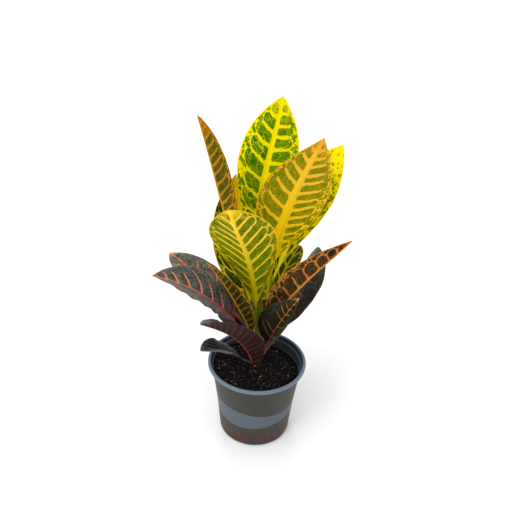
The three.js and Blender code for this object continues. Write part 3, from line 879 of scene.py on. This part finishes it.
def rounded(profile):
    """A profile with each corner that has a radius replaced by a short curve."""
    result = []
    for i, (radius, height, corner) in enumerate(profile):
        if corner == 0 or i in (0, len(profile) - 1):
            result.append((radius, height))
            continue
        here = np.array([radius, height])
        before = np.array(profile[i - 1][:2]) - here
        after = np.array(profile[i + 1][:2]) - here
        lengths = np.linalg.norm(before), np.linalg.norm(after)
        reach = min(corner, lengths[0] * 0.48, lengths[1] * 0.48)
        first = here + before / lengths[0] * reach
        last = here + after / lengths[1] * reach
        for share in np.linspace(0, 1, CORNER_STEPS):
            point = first * (1 - share) ** 2 + here * 2 * share * (1 - share) + last * share**2
            result.append(tuple(point))
    return result


def wall_radius(height):
    """Outer radius of the pot's wall, which tapers less below its knee than above it."""
    slope = (NECK_RADIUS - KNEE_RADIUS) / (NECK_Z - KNEE_Z)
    if height < KNEE_Z:
        slope = (KNEE_RADIUS - FOOT_RADIUS) / (KNEE_Z - FOOT_CORNER)
    return KNEE_RADIUS + (height - KNEE_Z) * slope


def drill(pot):
    """Cuts the drain holes through the pot's floor."""
    cutter_mesh = bpy.data.meshes.new("drain_cutter")
    shape = bmesh.new()
    for i in range(DRAIN_COUNT):
        turn = (i + 0.5) * FULL_TURN / DRAIN_COUNT
        place = Vector((math.cos(turn), math.sin(turn), 0)) * DRAIN_CIRCLE
        place.z = FLOOR / 2
        bmesh.ops.create_cone(
            shape, cap_ends=True, segments=32, radius1=DRAIN_RADIUS * MM,
            radius2=DRAIN_RADIUS * MM, depth=4 * FLOOR * MM,
            matrix=Matrix.Translation(place * MM),
        )
    shape.to_mesh(cutter_mesh)
    shape.free()
    cutter = add_object("drain_cutter", cutter_mesh)
    cut = pot.modifiers.new("drains", "BOOLEAN")
    cut.operation = "DIFFERENCE"
    cut.solver = "EXACT"
    cut.object = cutter
    seen = pot.evaluated_get(bpy.context.evaluated_depsgraph_get())
    drilled = bpy.data.meshes.new_from_object(seen)
    pot.modifiers.clear()
    pot.data = drilled
    bpy.data.objects.remove(cutter)
    bpy.data.meshes.remove(cutter_mesh)


def make_pot(material):
    """The moulded pot: rolled lip, stacking ledges inside it and drain holes in its floor.

    Its profile runs from the middle of the underside, up the outside, over the lip and down
    the inside. Each corner has its radius, its height and how far it is rounded off.
    """
    outer = wall_radius

    def inner(height):
        return wall_radius(height) - WALL

    profile = rounded([
        (0, 0.6, 0), (21, 0.6, 0.5), (22.5, 0, 0.5), (39.6, 0, 1.2), (43, 1.4, 1.4),
        (FOOT_RADIUS, 4, 2.5), (outer(25), 25, 0), (KNEE_RADIUS, KNEE_Z, 12),
        (outer(70), 70, 0), (outer(88), 88, 0), (outer(95.2), 95.2, 0.4),
        (outer(95.6) + 0.3, 95.7, 0.3), (outer(NECK_Z) + 0.2, NECK_Z, 0.5),
        (58.6, 98.9, 0.5), (59.8, 99.9, 0.8), (RIM_RADIUS, 101.4, 0.8), (59.9, 103, 0.9),
        (58.8, POT_HEIGHT, 0.9), (57.4, POT_HEIGHT, 0.9), (56.2, 103.1, 0.8),
        (55.7, 101.2, 0.5), (55.3, 100.5, 0.5), (54.7, 100.3, 0.4), (54.5, 99.9, 0.4),
        (54.3, 98.4, 0.3), (inner(98) + 0.1, 98, 0.3), (inner(87.8) + 0.2, 87.8, 0.2),
        (inner(87.4) - 0.15, 87.4, 0.2), (inner(75), 75, 0),
        (inner(KNEE_Z), KNEE_Z, 12), (inner(20), 20, 0), (inner(4.8), 4.8, 1.5),
        (41, FLOOR, 1.5), (0, FLOOR, 0),
    ])
    points, faces = turned(profile, POT_SIDES)
    pot = new_piece("pot_moulded", points, faces, material)
    drill(pot)
    pot.data.set_sharp_from_angle(angle=math.radians(50))
    return pot


def petal(n, across, up, tilt, length, width):
    """A pointed petal that stands on the origin and leans by tilt degrees.

    The second value is the distance from the petal's middle line.
    """
    cos_tilt, sin_tilt = math.cos(math.radians(tilt)), math.sin(math.radians(tilt))
    along = up * cos_tilt + across * sin_tilt
    aside = abs(across * cos_tilt - up * sin_tilt)
    share = along * (2 / length) - 1.0
    edge = (1.0 - share * share) * (width / 2)
    return n.above(edge - aside, 0.0, 0.25), aside


def pot_material():
    """Blue-grey plastic with a taupe print, a plain wavy band and a row of red sprigs."""
    material, n = new_material("pot_plastic")
    place = n.place()
    x, y, z = n.split(place)
    turn = n.math("ARCTAN2", y, x)
    radius = n.length(x, y)
    cloud = n.noise(place, 0.035, 3.0) - 0.5
    grain = n.noise(place, 0.9, 4.0) - 0.5
    fine = n.noise(place, 3.5, 3.0) - 0.5

    # the middle of the wall's thickness parts the printed outside from the bare inside
    tapers = []
    for low, high in ((FOOT_CORNER, KNEE_Z), (KNEE_Z, NECK_Z)):
        slope = (wall_radius(high) - wall_radius(low)) / (high - low)
        tapers.append((z - low) * slope + wall_radius(low))
    wall = n.largest(*tapers) - WALL / 2
    outside = n.math("GREATER_THAN", radius, wall)
    outside = outside * n.below(z, PRINT_TOP, 0.2) * n.above(z, PRINT_LOW, 0.4)

    def wave(height, swing, start):
        return n.math("SINE", turn * 2.0 + start) * swing + height

    band_top, band_low = wave(*BAND_TOP), wave(*BAND_LOW)
    ragged = z + grain * 0.6
    in_band = n.below(ragged, band_top, 0.25) * n.above(ragged, band_low, 0.25)

    # sprigs of three petals, evenly round the pot
    cell = n.fraction(turn * (SPRIG_COUNT / FULL_TURN)) - 0.5
    across = cell * (FULL_TURN * SPRIG_RADIUS / SPRIG_COUNT)
    petals, ribs = [], 1.0
    for tilt, length, width in SPRIG_PETALS:
        shape, aside = petal(n, across, z - SPRIG_FOOT, tilt, length, width)
        petals.append(shape)
        ribs = ribs * n.smooth(aside, 0.25, 0.55)
    worn = n.smooth(n.noise(place, 0.5, 4.0), 0.34, 0.42)
    sprigs = n.largest(*petals) * (ribs * 0.55 + 0.45)
    sprigs = sprigs * worn * n.smooth(z, band_low - 0.6, band_low - 1.2)

    plastic = n.blend(cloud + 0.5, (94, 108, 125), (112, 127, 143))
    taupe = n.blend(cloud + grain * 0.3 + 0.5, (54, 52, 46), (64, 62, 56))
    red = n.blend(grain + 0.5, (78, 42, 38), (97, 56, 50))
    band = n.blend(0.5, n.scale(plastic, 0.62), (84, 91, 95))
    printed = n.coat(taupe, (in_band, band), (sprigs, red))
    # painted shade: the print darkens towards the foot
    printed = n.scale(printed, n.smooth(z, -20.0, 40.0) * 0.35 + 0.65)

    # the inside: the plastic in painted shade with some dirt, a painted shadow under the lip, the
    # ledges as painted lit lines in the plastic's own colour, and soil dirt with painted shade above
    # the soil's edge
    # a painted shadow just under the lip
    under_lip_shadow = n.smooth(radius, 56.7, 56.2) * n.smooth(z, 98.4, 99.2)
    inside = n.smooth(radius, wall, wall - 0.5) * n.smooth(z, 102.5, 101.0)
    inside = n.largest(inside, under_lip_shadow)
    # the inner wall is the plastic in painted shade, with some dirt
    inner_wall = n.blend(cloud + 0.5, (48, 56, 58), (62, 71, 73))
    # the ledges keep the plastic's own colour, painted lit lines on the shaded wall
    ledges = n.largest(*(n.smooth(abs(z - edge), 0.42, 0.2) for edge in LEDGE_HEIGHTS))
    low_side = n.math("SINE", turn + math.radians(90 - SOIL_LOW_SIDE))
    edge_z = SOIL_EDGE_Z - low_side * SOIL_SLOPE
    # dirt from the soil, and painted shade, on the wall just above the soil's edge
    soil_dirt_and_shade = n.smooth(z - edge_z + grain * 7.0 + cloud * 4.0, 2.4, 0.3) * inside

    # dust near the foot, crumbs inside, and splashes and scratches outside
    dust = n.smooth(z + cloud * 10, 9.0, 0.0) * n.smooth(grain, -0.1, 0.25)
    specks = n.specks(place, 0.42, (0.2, 0.12), 0.08, (0.5, 0.62)) * n.smooth(z, 92.0, 103.0)
    splashes = n.specks(place, 0.38, (0.16, 0.1), 0.05, (0.5, 0.6)) * n.smooth(z, 24.0, 8.0)
    scratches = n.smooth(n.noise(n.combine(x * 0.25, y * 0.25, z * 3.0), 0.8, 3.0), 0.64, 0.7)

    colour = n.coat(plastic, (outside, printed), (dust * 0.35, (96, 88, 74)), (inside, inner_wall))
    # painted shadow under the lip and painted lit lines on the ledges, then soil dirt with painted
    # shade, crumbs and splashes
    colour = n.coat(
        n.scale(colour, 1.0 - under_lip_shadow * 0.5), (ledges * inside * 0.9, plastic),
        (soil_dirt_and_shade * 0.7, (34, 29, 26)), (specks * 0.7, (60, 50, 42)),
        (splashes * outside * 0.8, (200, 204, 200)),
    )
    colour = n.scale(colour, 1.0 + grain * 0.12 + fine * 0.08 + scratches * 0.1)
    roughness = 0.44 + grain * 0.14 + fine * 0.08 + outside * 0.05 + scratches * 0.08
    moulding = n.math("SINE", z * 2.6) * 0.015
    n.finish(colour, roughness, 0.18, grain * 0.05 + fine * 0.04 + moulding + cloud * 0.3)
    return material


def rough_height(x, y, scale):
    """Fractal noise at a place in millimetres, from about -1 to 1."""
    place = Vector((x / scale, y / scale, 3.7))
    return noise.fractal(place, 1.0, 2.0, 4, noise_basis="PERLIN_ORIGINAL")


def soil_top(x, y):
    """Height of the soil's surface, sunk on one side of the pot."""
    radius = math.hypot(x, y)
    mound = np.interp(radius, *zip(*SOIL_MOUND))
    turn = math.atan2(y, x) - math.radians(SOIL_LOW_SIDE)
    sunk = SOIL_SLOPE * math.cos(turn) * (radius / SOIL_EDGE_RADIUS) ** 2
    rough = 1.5 * rough_height(x, y, 11.0) + 0.6 * rough_height(x + 60, y, 3.2)
    return float(mound) - sunk + rough


def make_soil(material):
    """The root ball, crumbly on top and smooth where the pot holds it."""

    def fill(height):
        return wall_radius(height) - WALL - SOIL_GAP

    radii = np.sqrt(np.linspace(0.0004, 1, SOIL_RINGS)) * fill(SOIL_EDGE_Z)
    profile = [(0, FLOOR + SOIL_GAP), (SOIL_FOOT_RADIUS, FLOOR + SOIL_GAP)]
    profile += [(fill(height), height) for height in (5.2, 20, 35, KNEE_Z, 60, 70, 80)]
    profile += [(radius, SOIL_Z) for radius in radii[::-1]]
    profile.append((0, SOIL_Z))
    points, faces = turned(profile, SOIL_SIDES)
    for point in points:
        if point[2] == SOIL_Z:
            height = soil_top(*point[:2])
            point[:2] *= fill(height - 0.6) / fill(SOIL_EDGE_Z)
            point[2] = height
    return new_piece("soil_ball", points, faces, material)


def soil_material():
    """Damp potting mix: nearly black, with rust-brown fibre and pale grit."""
    material, n = new_material("potting_mix")
    place = n.place()
    coarse = n.noise(place, 0.32, 4.0, 0.62)
    grain = n.noise(place, 1.5, 4.0, 0.65)
    lumps = n.voronoi(place, 0.55)
    grit = n.specks(place, 0.75, (0.2, 0.14), 0.6, (0.56, 0.62), detail=2.0)
    # the hollows between lumps, which the bumps sink, are painted near black as shade
    colour = n.coat(
        (3, 3, 3), (n.smooth(coarse, 0.42, 0.68), (23, 16, 14)),
        (n.smooth(grain, 0.52, 0.72), (58, 43, 40)), (n.smooth(lumps, 0.5, 0.85), (2, 2, 2)),
        (grit, (176, 158, 132)),
    )
    n.finish(colour, 0.98 - grain * 0.35, 0.12, coarse * 0.8 + grain * 0.6 - lumps * 0.5)
    return material


def crumb_shape(draws, size, stretch):
    """Points and faces of one lump, its size in millimetres."""
    shape = bmesh.new()
    bmesh.ops.create_icosphere(shape, subdivisions=1, radius=1)
    offset = Vector(draws.uniform(-50, 50, 3))
    spin = Matrix.Rotation(draws.uniform(0, FULL_TURN), 3, Vector(draws.normal(size=3)))
    stretched = spin @ Matrix.Diagonal(stretch) * size
    points = []
    for vertex in shape.verts:
        dent = 1 + 0.38 * noise.noise(vertex.co * 1.3 + offset)
        points.append(stretched @ vertex.co * dent)
    faces = [[vertex.index for vertex in face.verts] for face in shape.faces]
    shape.free()
    return points, faces


def scatter(name, material, count, seed, size, stretch, rise, patchy=0):
    """Lumps scattered over the soil, in patches or evenly, joined in one piece.

    A lump's middle lies above the soil by its size times rise.
    """
    draws = np.random.default_rng(seed)
    points, faces = [], []
    for _ in range(count):
        radius = SCATTER_RADIUS * math.sqrt(draws.uniform(0.02, 1))
        turn = draws.uniform(0, FULL_TURN)
        x, y = radius * math.cos(turn), radius * math.sin(turn)
        if rough_height(x + 200, y, 9.0) < patchy - 1:
            continue
        scale = draws.uniform(0, 1) ** 2 * (size[1] - size[0]) + size[0]
        shape, sides = crumb_shape(draws, scale, stretch)
        base = len(points)
        lift = soil_top(x, y) + scale * rise
        points += [(p.x + x, p.y + y, p.z + lift) for p in shape]
        faces += [[i + base for i in face] for face in sides]
    dress(new_piece(name, points, faces, material), "soil")


def simple_material(name, dark, light, roughness, bump):
    """A mottled matt material in two colours."""
    material, n = new_material(name)
    place = n.place()
    broad = n.noise(place, 0.36, 3.0)
    grain = n.noise(place, 1.2, 4.0, 0.6)
    share = n.smooth(broad * 0.6 + grain * 0.4, 0.36, 0.62)
    colour = n.scale(n.blend(share, dark, light), 0.85 + grain * 0.3)
    n.finish(colour, roughness - grain * 0.15, 0.15, grain * bump)
    return material


def stem_material():
    """Green-brown young bark with pale ridges and pores, dark near the soil."""
    material, n = new_material("stem_bark")
    place = n.place()
    x, y, z = n.split(place)
    streaks = n.noise(n.combine(x, y, z * 0.18), 0.9, 4.0)
    patches = n.noise(place, 0.16, 3.0)
    pores = n.smooth(n.voronoi(n.combine(x, y, z * 0.5), 0.7), 0.24, 0.12)
    pale = n.smooth(streaks, 0.36, 0.64)
    bark = n.blend(pale, (54, 48, 28), (84, 76, 46))
    green = n.blend(pale, (96, 110, 34), (140, 146, 48))
    from_scar = n.length(*(here - there for here, there in zip((x, y, z), SCAR_PLACE)))
    scar = n.smooth(from_scar + streaks * 0.8, SCAR_SIZE + 0.8, SCAR_SIZE - 0.6)
    colour = n.coat(
        bark, (n.smooth(z + patches * 30, 120.0, 175.0), green),
        (n.smooth(z + patches * 12, 124.0, 104.0), (27, 22, 16)),
        (pores * 0.6, (120, 108, 72)), (scar * 0.85, (140, 118, 64)),
    )
    n.finish(colour, 0.62 + streaks * 0.25, 0.35, streaks * 0.5 + pores * 0.25)
    return material


def make_rod(name, heights, top, sides, radius_at, material):
    """An upright piece, its radius given by a function of the height and the angle."""
    profile = [(0, heights[0]), *((1, height) for height in heights), (0, top)]
    points, faces = turned(profile, sides)
    for point in points[:-2]:
        point[:2] *= radius_at(point[2], math.atan2(point[1], point[0]))
    return new_piece(name, points, faces, material)


def hump(distance, width):
    """A bell curve, 1 at distance 0."""
    return math.exp(-((distance / width) ** 2))


def make_stem(material):
    """The stem, with a swollen node and a scar ring under each leaf stalk."""
    low, high = SOIL_Z - ROOT_DEPTH, SOIL_Z + STEM_HEIGHT
    scar_turn = math.atan2(SCAR_PLACE[1], SCAR_PLACE[0])

    def facing(turn, middle):
        return max(0, math.cos(turn - middle))

    def radius_at(z, turn):
        height = z - SOIL_Z
        radius = float(stem_radius(height))
        for leaf_ in LEAVES:
            gap = height - leaf_.height
            radius += 0.42 * hump(gap, 2.6) * facing(turn, math.radians(leaf_.azimuth)) ** 3
            radius += 0.12 * hump(gap + 3.4, 0.5)
        bark_place = Vector((math.cos(turn) * 1.4, math.sin(turn) * 1.4, z * 0.12))
        radius += 0.16 * noise.noise(bark_place)
        radius += 0.8 * hump(z - SCAR_PLACE[2], 1.6) * facing(turn, scar_turn) ** 8
        return radius * (0.7 + 0.3 * float(smoothstep(z, low - 0.1, low + 5)))

    heights = np.linspace(low, high, STEM_ROWS)
    return make_rod("stem_grown", heights, high, STEM_SIDES, radius_at, material)


def make_tip(material):
    """The furled young leaf on the stem's end, with the seam of its rolled margin."""
    foot = SOIL_Z + STEM_HEIGHT - TIP_OVERLAP
    top = SOIL_Z + STEM_HEIGHT + TIP_LENGTH

    def radius_at(z, turn):
        share = (z - foot) / (top - foot)
        seam = (turn - 1.2 * share * FULL_TURN) % FULL_TURN
        furl = 1 - 0.22 * hump(seam, 0.35) + 0.03 * (seam / math.pi - 1)
        return np.interp(share, *zip(*TIP_SHAPE)) * furl

    heights = np.linspace(foot, top - 0.2, TIP_ROWS)
    return make_rod("growing_tip_furled", heights, top, TIP_SIDES, radius_at, material)


def add_floor():
    material, n = new_material("studio_floor")
    cloud = n.noise(n.place(), 0.004, 2.0)
    n.finish(n.blend(cloud, (246, 246, 246), (249, 249, 249)), 0.9, 0.1)
    reach = 9000
    corners = [(-reach, -reach, 0), (reach, -reach, 0), (reach, reach, 0), (-reach, reach, 0)]
    floor = new_piece("studio_floor", corners, [(0, 1, 2, 3)], material)


def add_light(name, kind, place, power, **settings):
    """A light that faces the plant's middle from a place in metres."""
    lamp = bpy.data.lights.new(name, kind)
    lamp.energy = power
    for key, value in settings.items():
        setattr(lamp, key, value)
    made = add_object(name, lamp)
    made.location = place
    away = Vector(place) - Vector(LIGHTS_AIM)
    made.rotation_euler = away.to_track_quat("Z", "Y").to_euler()


def add_world(strength):
    world = bpy.data.worlds.new("studio")
    world.use_nodes = True
    background = world.node_tree.nodes["Background"]
    background.inputs["Color"].default_value = (1, 1, 1, 1)
    background.inputs["Strength"].default_value = strength
    bpy.context.scene.world = world


def add_camera():
    lens = bpy.data.cameras.new("photo_camera")
    lens.sensor_width = 36
    lens.lens = lens.sensor_width * LENS_PIXELS / PHOTO_SIZE
    lens.clip_end = 30
    camera = add_object("photo_camera", lens)
    pitch = Matrix.Rotation(math.radians(90 - CAMERA_PITCH), 4, "X")
    roll = Matrix.Rotation(math.radians(CAMERA_ROLL), 4, "Z")
    camera.matrix_world = Matrix.Translation(Vector(CAMERA_PLACE) * MM) @ pitch @ roll
    bpy.context.scene.camera = camera


SLOTS = {part["node"]: part["material_slot"] for part in frame["record"]["subparts"]}

leaf_skin = build_leaf_skin()
face_materials = {name: leaf_material(name, look, leaf_skin) for name, look in LOOKS.items()}
for number, one in enumerate(LEAVES):
    faces_of_leaf = [face_materials[one.upper], face_materials[one.under]]
    dress(make_leaf(one, number, faces_of_leaf), SLOTS[one.name], one.name)

dress(make_pot(pot_material()), "pot", "pot")
dress(make_soil(soil_material()), "soil", "soil")
dress(make_stem(stem_material()), "stem", "stem")
young_leaf = simple_material("young_leaf", (150, 160, 40), (206, 198, 56), 0.5, 0.15)
dress(make_tip(young_leaf), "leaf_yellow", "growing_tip")

# what lies on the soil, each kind with its count, seed, sizes, stretch and rise
crumb = simple_material("soil_crumb", (2, 2, 2), (22, 17, 17), 0.95, 0.5)
lump = simple_material("soil_lump", (14, 9, 10), (72, 50, 50), 0.95, 0.6)
fibre = simple_material("soil_fibre", (38, 34, 31), (134, 126, 118), 0.95, 0.5)
chip = simple_material("bark_chip", (70, 56, 38), (158, 136, 84), 0.9, 0.4)
grit = simple_material("pale_grit", (186, 182, 170), (232, 230, 222), 0.85, 0.3)
scatter("soil_crumbs", crumb, 900, 11, (0.7, 3.2), (1, 0.8, 0.7), 0.15)
scatter("soil_lumps", lump, 700, 19, (0.4, 1.7), (1.4, 0.8, 0.6), 0.3, patchy=1.05)
scatter("soil_fibres", fibre, 520, 14, (0.25, 0.85), (2.0, 0.8, 0.6), 0.45, patchy=0.85)
scatter("soil_chips", chip, 48, 12, (0.4, 1.4), (2.0, 0.8, 0.4), 0.5)
scatter("soil_grit", grit, 56, 17, (0.25, 0.7), (1.3, 0.9, 0.7), 0.4)

add_floor()
add_light("overhead", "SUN", (-0.35, -0.45, 1.18), 1.25, angle=math.radians(60))
add_light("front_softbox", "AREA", (-0.8, -1.2, 1.5), 5, size=0.5)
add_light("back_softbox", "AREA", (-0.3, 1.8, 1.3), 9, size=0.9)
add_world(0.8)
add_camera()
bpy.context.scene.view_settings.view_transform = "Standard"
